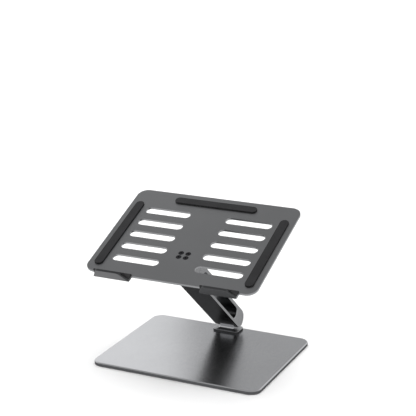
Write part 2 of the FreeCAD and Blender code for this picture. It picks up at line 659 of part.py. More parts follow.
for end, fixed, turning, grip in (("lower", rides_base, rides_arm, BASE_GRIP),
                                  ("upper", rides_under_tray, rides_arm_end, "tray_thickness")):
    make_bracket(f"{end}_bracket", fixed, grip)
    make_screws(f"{end}_bracket_screws", fixed, f"-({HINGE_HEIGHT} + {grip})")
    make_bush(f"{end}_hinge_bush", fixed)
    make_shaft(f"{end}_pivot_shaft", turning)
    make_washers(f"{end}_friction_washers", turning)
    make_springs(f"{end}_disc_springs", turning)
    make_nut(f"{end}_lock_nut", turning)
    make_cap(f"{end}_pivot_cap_left", turning, side=-1)
    make_cap(f"{end}_pivot_cap_right", turning, side=1)

NODES = (
    "base_plate", "base_mat", "arm_profile", "tray_plate", "hook_pad_left", "hook_pad_right",
    "tray_pad_left", "tray_pad_right", "tray_pad_back",
) + tuple(f"{end}_{piece}" for end in ("lower", "upper") for piece in (
    "bracket", "bracket_screws", "hinge_bush", "pivot_shaft", "friction_washers", "disc_springs",
    "lock_nut", "pivot_cap_left", "pivot_cap_right"))

DOC.recompute()
failed = [thing.Name for thing in DOC.Objects if {"Invalid", "Error"} & set(thing.State)]
if failed:
    raise RuntimeError("failed to compute: " + ", ".join(failed))

os.makedirs("parts", exist_ok=True)
for label in NODES:
    node = DOC.getObject(label)
    if node.Shape.isNull() or not node.Shape.isValid():
        raise RuntimeError("bad shape: " + label)
    node.Shape.exportStep(f"parts/{label}.step")
    print(f"{label:26s} {len(node.Shape.Solids)} solid(s) {node.Shape.Volume:12.1f} mm3")
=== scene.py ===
import bpy
import bmesh
import json
from math import atan2, cos, pi, radians, sin
from mathutils import Matrix, Vector


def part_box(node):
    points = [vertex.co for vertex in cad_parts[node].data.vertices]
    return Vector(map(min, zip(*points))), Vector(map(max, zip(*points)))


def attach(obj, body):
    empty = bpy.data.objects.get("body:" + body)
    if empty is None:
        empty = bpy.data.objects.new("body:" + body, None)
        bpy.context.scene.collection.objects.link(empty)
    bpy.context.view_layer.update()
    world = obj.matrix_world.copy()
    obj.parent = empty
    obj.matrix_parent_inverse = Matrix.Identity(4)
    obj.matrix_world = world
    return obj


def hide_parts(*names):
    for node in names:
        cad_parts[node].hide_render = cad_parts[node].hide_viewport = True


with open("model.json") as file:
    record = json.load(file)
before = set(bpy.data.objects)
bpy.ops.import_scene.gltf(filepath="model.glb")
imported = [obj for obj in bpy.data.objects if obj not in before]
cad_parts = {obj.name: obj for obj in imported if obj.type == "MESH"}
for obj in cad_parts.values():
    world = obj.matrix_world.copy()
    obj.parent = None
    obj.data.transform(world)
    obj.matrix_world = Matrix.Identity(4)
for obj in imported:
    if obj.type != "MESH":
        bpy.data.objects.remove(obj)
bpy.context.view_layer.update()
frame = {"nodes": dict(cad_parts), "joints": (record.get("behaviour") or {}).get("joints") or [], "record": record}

MM = 0.001

# ---- places and angles, read from the frame ---------------------------------------------

joints = {joint["name"]: Vector(joint["pos_m"]) for joint in frame["joints"]}
mounts = {mount["name"]: Vector(mount["axis"]) for mount in frame["record"]["mounts"]}
LOWER_AXIS = joints["arm_lift"]
UPPER_AXIS = joints["tray_tilt"]
ARM_LENGTH = (UPPER_AXIS - LOWER_AXIS).length
ARM_RISE = atan2(UPPER_AXIS.z - LOWER_AXIS.z, LOWER_AXIS.y - UPPER_AXIS.y)
TRAY_TILT = atan2(-mounts["laptop_face"].y, mounts["laptop_face"].z)

# the arm lies along -Y from the lower hinge, the tray faces +Z above the upper hinge
BASE_PLACE = Matrix.Translation(LOWER_AXIS)
ARM_PLACE = Matrix.Translation(LOWER_AXIS) @ Matrix.Rotation(-ARM_RISE, 4, "X")
TRAY_PLACE = Matrix.Translation(UPPER_AXIS) @ Matrix.Rotation(TRAY_TILT, 4, "X")
UNDER_TRAY_PLACE = TRAY_PLACE @ Matrix.Rotation(pi, 4, "X")


def local_box(node, place):
    """A node's lowest and highest corners, measured along the axes of a tilted place."""
    back = place.inverted()
    points = [back @ vertex.co for vertex in frame["nodes"][node].data.vertices]
    low = Vector([min(point[axis] for point in points) for axis in range(3)])
    high = Vector([max(point[axis] for point in points) for axis in range(3)])
    return low, high


# ---- bench tools: how a piece is started, marked, cut and finished ------------------------

WELD = 0.002 * MM
FLAT_ANGLE = radians(35)
SQUARE = 0.999  # cosine from which a direction counts as along an axis
LEANS_FROM = 0.3
LEANS_TO = 0.95


def begin(name, primitive, **how):
    """Put down a primitive with its place in its mesh, and open it for editing."""
    bpy.ops.object.select_all(action="DESELECT")
    primitive(**how)
    bpy.ops.object.transform_apply(location=True, rotation=True, scale=True)
    piece = bpy.context.object
    piece.name = piece.data.name = name
    bpy.ops.object.mode_set(mode="EDIT")
    return piece


def begin_block(name, low, high):
    low, high = Vector(low), Vector(high)
    return begin(name, bpy.ops.mesh.primitive_cube_add, size=1,
                 location=(low + high) / 2, scale=high - low)


def begin_rod(name, radius, start, end, y=0.0, sides=64):
    """A rod along X."""
    return begin(name, bpy.ops.mesh.primitive_cylinder_add, vertices=sides, radius=radius,
                 depth=end - start, location=((start + end) / 2, y, 0), rotation=(0, pi / 2, 0))


def middle(part):
    """The middle of a vertex, an edge or a face."""
    points = [part.co] if isinstance(part, bmesh.types.BMVert) else [vertex.co for vertex in part.verts]
    return sum(points, Vector()) / len(points)


def mark(piece, kind, wanted):
    """Select only the vertices, edges or faces that are wanted."""
    bpy.ops.mesh.select_mode(type=kind)
    bpy.ops.mesh.select_all(action="DESELECT")
    mesh = bmesh.from_edit_mesh(piece.data)
    for part in {"VERT": mesh.verts, "EDGE": mesh.edges, "FACE": mesh.faces}[kind]:
        if wanted(part):
            part.select_set(True)
    bmesh.update_edit_mesh(piece.data)


def along(edge, axis):
    """True for an edge that runs along one axis."""
    step = edge.verts[1].co - edge.verts[0].co
    return abs(step[axis]) > SQUARE * step.length


def faces(face, axis, side):
    """True for a face that looks along one axis, to the side of the sign."""
    return face.normal[axis] * side > SQUARE


def bevel(width, steps):
    bpy.ops.mesh.bevel(offset=width, segments=steps, affect="EDGES", clamp_overlap=False)


def bevel_rim(piece, side, width, steps):
    """Bevel the outline of the piece's top (side 1) or underside (side -1)."""
    mark(piece, "FACE", lambda face: faces(face, 2, side))
    bpy.ops.mesh.region_to_loop()
    bevel(width, steps)


def round_corners(piece, radius, steps):
    """Round the upright edges of a block."""
    mark(piece, "EDGE", lambda edge: along(edge, 2))
    bevel(radius, steps)


def widen(factor_x, factor_y=1.0, centre_x=0.0):
    """Scale what is selected across the stand and along it."""
    bpy.ops.transform.resize(value=(factor_x, factor_y, 1), center_override=(centre_x, 0, 0))


def push(distance):
    """Extrude what is selected and move it."""
    bpy.ops.mesh.extrude_region_move(TRANSFORM_OT_translate={"value": distance})


def close_up(piece):
    """Back to object mode with doubles merged and every face turned outwards."""
    bpy.ops.mesh.select_mode(type="VERT")
    bpy.ops.mesh.select_all(action="SELECT")
    bpy.ops.mesh.remove_doubles(threshold=WELD)
    bpy.ops.mesh.normals_make_consistent(inside=False)
    if bmesh.from_edit_mesh(piece.data).calc_volume(signed=True) < 0:
        bpy.ops.mesh.flip_normals()
    bpy.ops.mesh.select_all(action="DESELECT")
    bpy.ops.object.mode_set(mode="OBJECT")
    return piece


def apply_modifier(piece, modifier):
    bpy.ops.object.select_all(action="DESELECT")
    piece.select_set(True)
    bpy.context.view_layer.objects.active = piece
    bpy.ops.object.modifier_apply(modifier=modifier.name)


def combine(piece, tool, operation="DIFFERENCE"):
    """Cut a tool out of the piece, or weld it on, and throw the tool away."""
    modifier = piece.modifiers.new("combine", "BOOLEAN")
    modifier.operation = operation
    modifier.solver = "EXACT"
    modifier.object = tool
    apply_modifier(piece, modifier)
    bpy.data.objects.remove(tool)


def break_edges(piece, width, steps=2, angle=30):
    """Round every edge that is sharper than the angle."""
    modifier = piece.modifiers.new("broken_edges", "BEVEL")
    modifier.width = width
    modifier.segments = steps
    modifier.limit_method = "ANGLE"
    modifier.angle_limit = radians(angle)
    modifier.use_clamp_overlap = True
    apply_modifier(piece, modifier)


def set_down(piece, place=Matrix.Identity(4)):
    """Smooth the piece, keep its flats flat, and move its mesh to its place on the stand."""
    bpy.ops.object.select_all(action="DESELECT")
    piece.select_set(True)
    bpy.context.view_layer.objects.active = piece
    piece.data.transform(place)
    bpy.ops.object.shade_smooth_by_angle(angle=FLAT_ANGLE)
    modifier = piece.modifiers.new("flats", "WEIGHTED_NORMAL")
    modifier.keep_sharp = True
    apply_modifier(piece, modifier)
    return piece


def leans(part_of_normal):
    """True for a bevel: neither square to an axis nor facing along it."""
    return LEANS_FROM < part_of_normal < LEANS_TO


def finish(piece, materials, wanted=()):
    """Give a piece its materials: the first all over, each other where its test holds."""
    for material in materials:
        piece.data.materials.append(material)
    for face in piece.data.polygons:
        face.material_index = 0
        for number, test in enumerate(wanted, start=1):
            if test(face.center, face.normal):
                face.material_index = number


def copy_piece(piece, name):
    """A copy with a mesh of its own."""
    twin = piece.copy()
    twin.data = piece.data.copy()
    twin.name = twin.data.name = name
    bpy.context.scene.collection.objects.link(twin)
    return twin


def stands_for(piece, body, slot, *nodes):
    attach(piece, body)
    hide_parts(*nodes)


# ---- materials --------------------------------------------------------------------------

# noise scales, in cells per metre
METAL_DRIFT_SCALE = 14
BLAST_SCALE = 2600
RUBBER_DRIFT_SCALE = 60
RUBBER_SKIN_SCALE = 1800
TOOL_MARK_SCALE = 900

NOISE_LOW = 0.3
NOISE_HIGH = 0.7
BLAST_DEPTH = 0.03 * MM
SKIN_DEPTH = 0.04 * MM


def new_material(name):
    material = bpy.data.materials.new(name)
    material.use_nodes = True
    return material, material.node_tree.nodes, material.node_tree.links


def noise(nodes, links, scale, detail=2.0, stretch=(1, 1, 1)):
    """A noise pattern fixed to the piece."""
    place = nodes.new("ShaderNodeTexCoord")
    mapping = nodes.new("ShaderNodeMapping")
    mapping.inputs["Scale"].default_value = stretch
    pattern = nodes.new("ShaderNodeTexNoise")
    pattern.inputs["Scale"].default_value = scale
    pattern.inputs["Detail"].default_value = detail
    links.new(place.outputs["Object"], mapping.inputs["Vector"])
    links.new(mapping.outputs["Vector"], pattern.inputs["Vector"])
    return pattern.outputs["Fac"]


def ramp(nodes, links, source, low, high):
    """Map the middle range of a noise pattern onto low..high."""
    remap = nodes.new("ShaderNodeMapRange")
    remap.inputs["From Min"].default_value = NOISE_LOW
    remap.inputs["From Max"].default_value = NOISE_HIGH
    remap.inputs["To Min"].default_value = low
    remap.inputs["To Max"].default_value = high
    links.new(source, remap.inputs["Value"])
    return remap.outputs["Result"]


def two_tones(nodes, links, pattern, colour, shade):
    """The colour, drifting to a shade of itself with the pattern."""
    mix = nodes.new("ShaderNodeMix")
    mix.data_type = "RGBA"
    links.new(ramp(nodes, links, pattern, 0, 1), mix.inputs["Factor"])
    mix.inputs["A"].default_value = (*colour, 1)
    mix.inputs["B"].default_value = (*[part * shade for part in colour], 1)
    links.new(mix.outputs["Result"], nodes["Principled BSDF"].inputs["Base Color"])


def relief(nodes, links, pattern, strength, depth):
    bump = nodes.new("ShaderNodeBump")
    bump.inputs["Strength"].default_value = strength
    bump.inputs["Distance"].default_value = depth
    links.new(pattern, bump.inputs["Height"])
    links.new(bump.outputs["Normal"], nodes["Principled BSDF"].inputs["Normal"])


def blasted_metal(name, colour, shade, roughness, grain=0.03, edge=1.0):
    """Bead-blasted, anodised metal, drifting slowly in tone; edge is how much it shines at a glance."""
    material, nodes, links = new_material(name)
    shader = nodes["Principled BSDF"]
    shader.inputs["Metallic"].default_value = 1.0
    shader.inputs["Specular Tint"].default_value = (edge, edge, edge, 1)
    two_tones(nodes, links, noise(nodes, links, METAL_DRIFT_SCALE, detail=3), colour, shade)
    blast = noise(nodes, links, BLAST_SCALE, detail=1)
    links.new(ramp(nodes, links, blast, roughness - grain, roughness + grain), shader.inputs["Roughness"])
    relief(nodes, links, blast, 0.1, BLAST_DEPTH)
    return material


def rubber(name, colour, roughness):
    """Moulded silicone: nearly black, with a fine matt skin."""
    material, nodes, links = new_material(name)
    shader = nodes["Principled BSDF"]
    skin = noise(nodes, links, RUBBER_SKIN_SCALE)
    two_tones(nodes, links, noise(nodes, links, RUBBER_DRIFT_SCALE), colour, 1.35)
    links.new(ramp(nodes, links, skin, roughness - 0.06, roughness + 0.06), shader.inputs["Roughness"])
    relief(nodes, links, skin, 0.25, SKIN_DEPTH)
    return material


def turned_metal(name, colour, roughness):
    """Plain machined metal, with faint tool marks round its axis along X."""
    material, nodes, links = new_material(name)
    shader = nodes["Principled BSDF"]
    shader.inputs["Metallic"].default_value = 1.0
    marks = noise(nodes, links, TOOL_MARK_SCALE, stretch=(4, 1, 1))
    two_tones(nodes, links, marks, colour, 0.85)
    links.new(ramp(nodes, links, marks, roughness - 0.05, roughness + 0.05), shader.inputs["Roughness"])
    return material


BASE_GREY = blasted_metal("base_satin_grey", (0.44, 0.445, 0.46), 0.95, 0.27)
# painted shade: a much darker copy of the base grey, for the contact shadow on the plate's sides and on the
# bracket foot's sides
BASE_SIDE_PAINTED_SHADE = blasted_metal("base_side_painted_shade", (0.11, 0.112, 0.116), 0.9, 0.32, edge=0.5)
ARM_GREY = blasted_metal("anodised_space_grey", (0.2, 0.203, 0.21), 0.94, 0.27)
BRACKET_GREY = blasted_metal("bracket_grey", (0.44, 0.445, 0.455), 0.95, 0.35)
# painted shade: a near-black copy of the arm grey for the arm's front wall, standing in for the dark reflection it
# shows
ARM_FRONT_PAINTED_SHADE = blasted_metal("arm_front_painted_shade", (0.055, 0.056, 0.058), 0.92, 0.3, edge=0.7)
# painted shade: a darker copy of the tray grey for the front of the hook lips
HOOK_LIP_PAINTED_SHADE = blasted_metal("hook_lip_painted_shade", (0.12, 0.122, 0.126), 0.95, 0.36)
TRAY_GREY = blasted_metal("tray_space_grey", (0.33, 0.334, 0.343), 0.95, 0.34)
# bright cut bevels, also used as a painted highlight on the front of the bracket neck
CUT_BEVEL_AND_PAINTED_HIGHLIGHT = blasted_metal("bright_cut_bevel_and_painted_highlight", (0.8, 0.81, 0.83), 0.97, 0.2, grain=0.02)
SILICONE = rubber("black_silicone", (0.011, 0.011, 0.012), 0.62)
BRONZE = turned_metal("turned_bronze", (0.55, 0.36, 0.18), 0.3)
STEEL = turned_metal("ground_steel", (0.62, 0.62, 0.63), 0.28)
BLACK_SCREW = turned_metal("black_oxide_screw", (0.05, 0.05, 0.055), 0.4)

FINISHES = {
    "grey_steel": BASE_GREY,
    "grey_anodised": ARM_GREY,
    "black_rubber": SILICONE,
    "bronze": BRONZE,
    "bright_steel": STEEL,
    "dark_screws": BLACK_SCREW,
}
for part in frame["record"]["subparts"]:
    node = frame["nodes"][part["node"]]
    node.data.materials.clear()
    node.data.materials.append(FINISHES[part["material_slot"]])


# ---- base plate and its mat ----------------------------------------------------------------

BASE_CORNER = 15 * MM
BASE_BEVEL = 1.2 * MM
BASE_BREAK = 0.4 * MM
RECESS_BREAK = 0.12 * MM
MAT_RIM = 4.85 * MM
MAT_BORDER = 8 * MM
MAT_GROOVE = 0.5 * MM
RIBS = 5
RIB_PITCH = 38 * MM
RIB_WIDTH = 6 * MM
RIB_HEIGHT = 0.9 * MM
MAT_BREAK = 0.2 * MM


def make_base_plate():
    low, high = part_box("base_plate")
    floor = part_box("base_mat")[1].z
    plate = begin_block("base_plate_milled", low, high)
    round_corners(plate, BASE_CORNER, 16)
    bevel_rim(plate, 1, BASE_BEVEL, 1)
    bevel_rim(plate, -1, BASE_BREAK, 2)
    # the shallow recess that holds the mat
    mark(plate, "FACE", lambda face: faces(face, 2, -1))
    bpy.ops.mesh.inset(thickness=MAT_RIM - BASE_BREAK)
    push((0, 0, floor - low.z))
    close_up(plate)
    break_edges(plate, RECESS_BREAK)
    # painted shade on the plate's sides and underside; the bevels take the bright cut finish
    finish(plate, [BASE_GREY, BASE_SIDE_PAINTED_SHADE, CUT_BEVEL_AND_PAINTED_HIGHLIGHT], [
        lambda at, normal: normal.z < LEANS_FROM,
        lambda at, normal: leans(normal.z),
    ])
    stands_for(set_down(plate), "base", "grey_steel", "base_plate")


def make_base_mat():
    """Rubber mat with a raised rim round its underside and five ribs inside it."""
    low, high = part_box("base_mat")
    mat = begin_block("base_mat_rubber", low, high)
    round_corners(mat, BASE_CORNER - MAT_RIM, 12)
    mark(mat, "FACE", lambda face: faces(face, 2, -1))
    bpy.ops.mesh.inset(thickness=MAT_BORDER)
    push((0, 0, MAT_GROOVE))
    close_up(mat)
    for rib in range(RIBS):
        start = (rib - (RIBS - 1) / 2) * RIB_PITCH - RIB_WIDTH / 2
        bar = begin_block("rib", (start, low.y + MAT_BORDER, low.z),
                          (start + RIB_WIDTH, high.y - MAT_BORDER, low.z + RIB_HEIGHT))
        combine(mat, close_up(bar), "UNION")
    break_edges(mat, MAT_BREAK)
    finish(mat, [SILICONE])
    stands_for(set_down(mat), "base", "black_rubber", "base_mat")


# ---- arm: lower hinge axis at the origin, running towards -Y, front face below ---------------

ARM_BEVEL = 0.9 * MM
WINDOW_BEVEL = 0.4 * MM
ARM_ROUND = 66  # sides of each round end: two over a multiple of four keeps the flats parallel
ARM_ROOT = 19 * MM
FRONT_WALL = 4 * MM
BACK_WALL = 5 * MM
POCKET_RADIUS = 9.3 * MM
RECESS_RADIUS = 7.3 * MM
RECESS_DEPTH = 4.4 * MM
SHAFT_BORE = 4.03 * MM
SLOT_HALF = 11.72 * MM
NOSE_REACH = 5 * MM
FORK_REACH = 20 * MM
HAIR = 0.01 * MM  # points closer than this to a plane count as in it
FORK_SLACK = 0.3 * MM
FRONT_SKIN = 0.5 * MM
ARM_BREAK = 0.15 * MM


def stretch_loop(piece, radius, z, start, end, x):
    """Add a circle in the plane at x and draw it out into a long round-ended loop."""
    bpy.ops.mesh.primitive_circle_add(vertices=ARM_ROUND, radius=radius, location=(x, start, z),
                                      rotation=(0, pi / 2, 0))
    mesh = bmesh.from_edit_mesh(piece.data)
    for vertex in mesh.verts:
        if vertex.select and vertex.co.y > start:
            vertex.select_set(False)
    mesh.select_flush(False)
    bmesh.update_edit_mesh(piece.data)
    bpy.ops.transform.translate(value=(0, end - start, 0))


def off_centre_line(point):
    """How far a point is from the line between the two hinge axes, seen from the side."""
    along_line = max(-ARM_LENGTH, min(0.0, point.y))
    return Vector((0, point.y - along_line, point.z)).length


def cut_nose(arm, axis, sign):
    """The fork at one end; sign is 1 at the lower end, which opens forward and down."""
    cutter = begin("fork", bpy.ops.mesh.primitive_circle_add, vertices=96, radius=POCKET_RADIUS,
                   location=(-SLOT_HALF, axis, 0), rotation=(0, pi / 2, 0))

    def depth(vertex):
        return (axis - vertex.co.y) * sign

    def on_open_side(vertex):
        return vertex.co.z * sign < 0

    # keep the pocket's far arc, then run the outline round past the nose
    mark(cutter, "VERT",
         lambda vertex: depth(vertex) < (NOSE_REACH if on_open_side(vertex) else -FORK_SLACK))
    bpy.ops.mesh.delete(type="VERT")
    mark(cutter, "VERT", lambda vertex: on_open_side(vertex) and depth(vertex) < NOSE_REACH + FORK_SLACK)
    push((0, 0, -sign * (FORK_REACH - POCKET_RADIUS)))
    push((0, sign * (FORK_REACH + NOSE_REACH), 0))
    push((0, 0, sign * 2 * FORK_REACH))
    push((0, -sign * FORK_REACH, 0))
    bpy.ops.mesh.select_all(action="SELECT")
    bpy.ops.mesh.edge_face_add()
    push((2 * SLOT_HALF, 0, 0))
    combine(arm, close_up(cutter))
    side = arm_half_width()
    for start, end in ((-side - MM, -side + RECESS_DEPTH), (side - RECESS_DEPTH, side + MM)):
        combine(arm, close_up(begin_rod("recess", RECESS_RADIUS, start, end, y=axis)))
    combine(arm, close_up(begin_rod("bore", SHAFT_BORE, -side + 2 * MM, side - 2 * MM, y=axis, sides=48)))


def arm_half_width():
    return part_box("arm_profile")[1].x


def make_arm():
    side = arm_half_width()
    nose = local_box("arm_profile", ARM_PLACE)[1].z
    window = (2 * nose - FRONT_WALL - BACK_WALL) / 2
    window_z = (FRONT_WALL - BACK_WALL) / 2
    ends = -ARM_ROOT - window, -ARM_LENGTH + ARM_ROOT + window
    arm = begin("arm_extrusion", bpy.ops.mesh.primitive_circle_add, vertices=ARM_ROUND, radius=nose,
                location=(-side, 0, 0), rotation=(0, pi / 2, 0))
    mark(arm, "VERT", lambda vertex: vertex.co.y < 0)
    bpy.ops.transform.translate(value=(0, -ARM_LENGTH, 0))
    stretch_loop(arm, window, window_z, ends[0], ends[1], -side)
    mark(arm, "EDGE", lambda edge: True)
    bpy.ops.mesh.bridge_edge_loops()
    mark(arm, "FACE", lambda face: True)
    push((2 * side, 0, 0))
    bpy.ops.mesh.select_all(action="SELECT")
    bpy.ops.mesh.normals_make_consistent(inside=False)
    split = (nose + window) / 2

    def on_a_side(edge):
        """An edge round the arm's outline or its window, where a side face meets a wall."""
        return (not along(edge, 0) and abs(abs(middle(edge).x) - side) < HAIR
                and sum(abs(face.normal.x) for face in edge.link_faces) < 1.1)

    mark(arm, "EDGE", lambda edge: on_a_side(edge) and off_centre_line(middle(edge)) > split)
    bevel(ARM_BEVEL, 1)
    mark(arm, "EDGE", lambda edge: on_a_side(edge) and off_centre_line(middle(edge)) < split)
    bevel(WINDOW_BEVEL, 1)
    close_up(arm)
    cut_nose(arm, 0.0, 1)
    cut_nose(arm, -ARM_LENGTH, -1)
    break_edges(arm, ARM_BREAK)
    # painted shade: the arm's front wall takes the near-black copy of its grey; the side bevels take the bright
    # cut finish
    finish(arm, [ARM_GREY, CUT_BEVEL_AND_PAINTED_HIGHLIGHT, ARM_FRONT_PAINTED_SHADE], [
        lambda at, normal: leans(abs(normal.x)),
        lambda at, normal: normal.z < -0.9 and at.z < -nose + FRONT_SKIN,
    ])
    stands_for(set_down(arm, ARM_PLACE), "arm", "grey_anodised", "arm_profile")


# ---- tray with its two hooks: upper hinge axis at the origin, top face up ---------------------

TRAY_CORNER = 14 * MM
TRAY_THICKNESS = 3 * MM
TRAY_EDGE = 0.55 * MM
HOOK_WIDTH = 49.5 * MM
HOOK_TOP_WIDTH = 32 * MM
HOOK_LIP = 17 * MM
HOOK_LEAN = radians(22)
HOOK_ROUND = 3 * MM
BEND_RADIUS = 2 * MM
LIP_NEAR = 0.1 * MM  # closer than this to the lip's top counts as at its top
VENT_WIDTH = 13 * MM
VENT_INNER = 26 * MM
VENT_OUTER = 92 * MM
VENT_PITCH = 26 * MM
VENT_FIRST = -22 * MM
VENTS = 5
TRAY_FRONT = -54 * MM
BEND_Y = -60.2 * MM
BEND_STEPS = 8
TRAY_TOP = local_box("tray_pad_back", TRAY_PLACE)[0].z
LIP_UP = Vector((0, -sin(HOOK_LEAN), cos(HOOK_LEAN)))
BEND_CENTRE = Vector((0, BEND_Y, TRAY_TOP + BEND_RADIUS))


def up_the_lip(point):
    return (point - BEND_CENTRE).dot(LIP_UP)


def bend_up(lip):
    """Carry the selected end faces round the bend and up the lip."""
    bpy.ops.mesh.spin(steps=BEND_STEPS, angle=pi / 2 - HOOK_LEAN, center=BEND_CENTRE, axis=(1, 0, 0))
    push(LIP_UP * lip)


def hook_middle():
    low, high = local_box("hook_pad_right", TRAY_PLACE)
    return (low.x + high.x) / 2


def make_tray():
    far = local_box("tray_plate", TRAY_PLACE)[1]
    tray = begin_block("tray_pressing", (-far.x, TRAY_FRONT, TRAY_TOP - TRAY_THICKNESS),
                       (far.x, far.y, TRAY_TOP))
    round_corners(tray, TRAY_CORNER, 14)
    at = hook_middle()
    for side in (-1, 1):
        for edge in (-1, 1):
            bpy.ops.mesh.select_all(action="SELECT")
            bpy.ops.mesh.bisect(plane_co=(side * at + edge * HOOK_WIDTH / 2, 0, 0), plane_no=(1, 0, 0))
    mark(tray, "FACE",
         lambda face: faces(face, 1, -1) and abs(abs(middle(face).x) - at) < HOOK_WIDTH / 2)
    push((0, BEND_Y - TRAY_FRONT, 0))
    bend_up(HOOK_LIP)
    for side in (-1, 1):
        mark(tray, "VERT",
             lambda vertex: up_the_lip(vertex.co) > HOOK_LIP - LIP_NEAR and vertex.co.x * side > 0)
        widen(HOOK_TOP_WIDTH / HOOK_WIDTH, centre_x=side * at)
    mark(tray, "EDGE",
         lambda edge: up_the_lip(middle(edge)) > HOOK_LIP - LIP_NEAR and not along(edge, 0))
    bevel(HOOK_ROUND, 6)
    close_up(tray)
    cut_vents(tray)
    for screw_x, screw_y in screw_places():
        sink_screw(tray, screw_x, screw_y)
    break_edges(tray, TRAY_EDGE, steps=3)
    # painted shade: the hook lips take a darker copy of the tray's grey
    finish(tray, [TRAY_GREY, HOOK_LIP_PAINTED_SHADE], [
        lambda at, normal: at.y < BEND_Y and up_the_lip(at) > -BEND_RADIUS,
    ])
    stands_for(set_down(tray, TRAY_PLACE), "tray", "grey_anodised", "tray_plate")


def cut_vents(tray):
    radius = VENT_WIDTH / 2
    for side in (-1, 1):
        for count in range(VENTS):
            y = VENT_FIRST + count * VENT_PITCH
            near, far = sorted((side * (VENT_INNER + radius), side * (VENT_OUTER - radius)))
            slot = begin("slot", bpy.ops.mesh.primitive_cylinder_add, vertices=50, radius=radius,
                         depth=TRAY_THICKNESS * 3, location=(near, y, TRAY_TOP), rotation=(0, 0, pi / 2))
            mark(slot, "VERT", lambda vertex: vertex.co.x > near)
            bpy.ops.transform.translate(value=(far - near, 0, 0))
            combine(tray, close_up(slot))


SCREW_HEAD = 3.8 * MM
SCREW_SHANK = 2 * MM
SCREW_SINK = 2.1 * MM
SCREW_GAP = 0.1 * MM
SCREW_ACROSS = 5 * MM
SCREW_ALONG = 4.2 * MM


def screw_places():
    for across in (-1, 1):
        for down in (-1, 1):
            yield across * SCREW_ACROSS, down * SCREW_ALONG


def sink_screw(tray, x, y):
    """A countersunk hole through the tray."""
    sink = begin("sink", bpy.ops.mesh.primitive_cone_add, vertices=48,
                 radius1=SCREW_SHANK + SCREW_GAP, radius2=SCREW_HEAD + SCREW_GAP,
                 depth=SCREW_SINK, location=(x, y, TRAY_TOP - SCREW_SINK / 2))
    mark(sink, "FACE", lambda face: faces(face, 2, -1))
    push((0, 0, -2 * TRAY_THICKNESS))
    mark(sink, "FACE", lambda face: faces(face, 2, 1))
    push((0, 0, MM))
    combine(tray, close_up(sink))


# ---- hinge brackets: hinge axis at the origin, foot below --------------------------------------

LUG_RADIUS = 8.5 * MM
LUG_HALF = 11 * MM
NECK_HALF = 7 * MM
NECK_EDGE = 1.5 * MM
NECK_FLARE = 3.4 * MM
FLARE_STEPS = 6
FOOT_THICKNESS = 3 * MM
FOOT_CORNER = 6 * MM
FOOT_EDGE = 0.5 * MM
BRACKET_BREAK = 0.15 * MM
BUSH_SEAT = 5.56 * MM
THREAD_RADIUS = 2.01 * MM
THREAD_DEPTH = 9 * MM


def make_neck(foot_top):
    """The neck, made downwards: its sides flare out in a quarter circle to meet the foot."""
    neck = begin_block("neck", (-LUG_HALF, -NECK_HALF, foot_top + NECK_FLARE), (LUG_HALF, NECK_HALF, 0))
    round_corners(neck, NECK_EDGE, 5)
    out, down = 0.0, 0.0
    for step in range(1, FLARE_STEPS + 1):
        turn = step / FLARE_STEPS * pi / 2
        wider, lower = NECK_FLARE * (1 - cos(turn)), NECK_FLARE * sin(turn)
        mark(neck, "FACE", lambda face: faces(face, 2, -1))
        push((0, 0, down - lower))
        widen((LUG_HALF + wider) / (LUG_HALF + out), (NECK_HALF + wider) / (NECK_HALF + out))
        out, down = wider, lower
    mark(neck, "FACE", lambda face: faces(face, 2, -1))
    push((0, 0, -FOOT_THICKNESS / 2))
    return close_up(neck)


def make_brackets():
    """One bracket for the base plate and its copy under the tray."""
    low, high = local_box("lower_bracket", BASE_PLACE)
    foot_top = low.z + FOOT_THICKNESS
    bracket = begin_block("lower_bracket_milled", low, (high.x, high.y, foot_top))
    round_corners(bracket, FOOT_CORNER, 10)
    bevel_rim(bracket, 1, FOOT_EDGE, 3)
    close_up(bracket)
    combine(bracket, make_neck(foot_top), "UNION")
    combine(bracket, close_up(begin_rod("lug", LUG_RADIUS, -LUG_HALF, LUG_HALF, sides=96)), "UNION")
    combine(bracket, close_up(begin_rod("bush_seat", BUSH_SEAT, -LUG_HALF - MM, LUG_HALF + MM)))
    for screw_x, screw_y in screw_places():
        thread = begin("thread", bpy.ops.mesh.primitive_cylinder_add, vertices=24, radius=THREAD_RADIUS,
                       depth=2 * THREAD_DEPTH, location=(screw_x, screw_y, low.z))
        combine(bracket, close_up(thread))
    break_edges(bracket, BRACKET_BREAK, angle=40)
    # painted highlight on the front of the neck, painted shade on the foot's narrow sides
    finish(bracket, [BRACKET_GREY, CUT_BEVEL_AND_PAINTED_HIGHLIGHT, BASE_SIDE_PAINTED_SHADE], [
        lambda at, normal: normal.y < -0.25 and foot_top + FOOT_EDGE / 4 < at.z < -LUG_RADIUS / 2,
        lambda at, normal: abs(normal.z) < LEANS_FROM and at.z < foot_top - FOOT_EDGE,
    ])
    twin = copy_piece(bracket, "upper_bracket_milled")
    stands_for(set_down(bracket, BASE_PLACE), "base", "grey_anodised", "lower_bracket")
    stands_for(set_down(twin, UNDER_TRAY_PLACE), "tray", "grey_anodised", "upper_bracket")


# ---- pivot caps, flush in the sides of the arm -------------------------------------------------

CAP_EDGE = 0.3 * MM
CAP_RIM = 1.6 * MM
CAP_DISH = 0.12 * MM


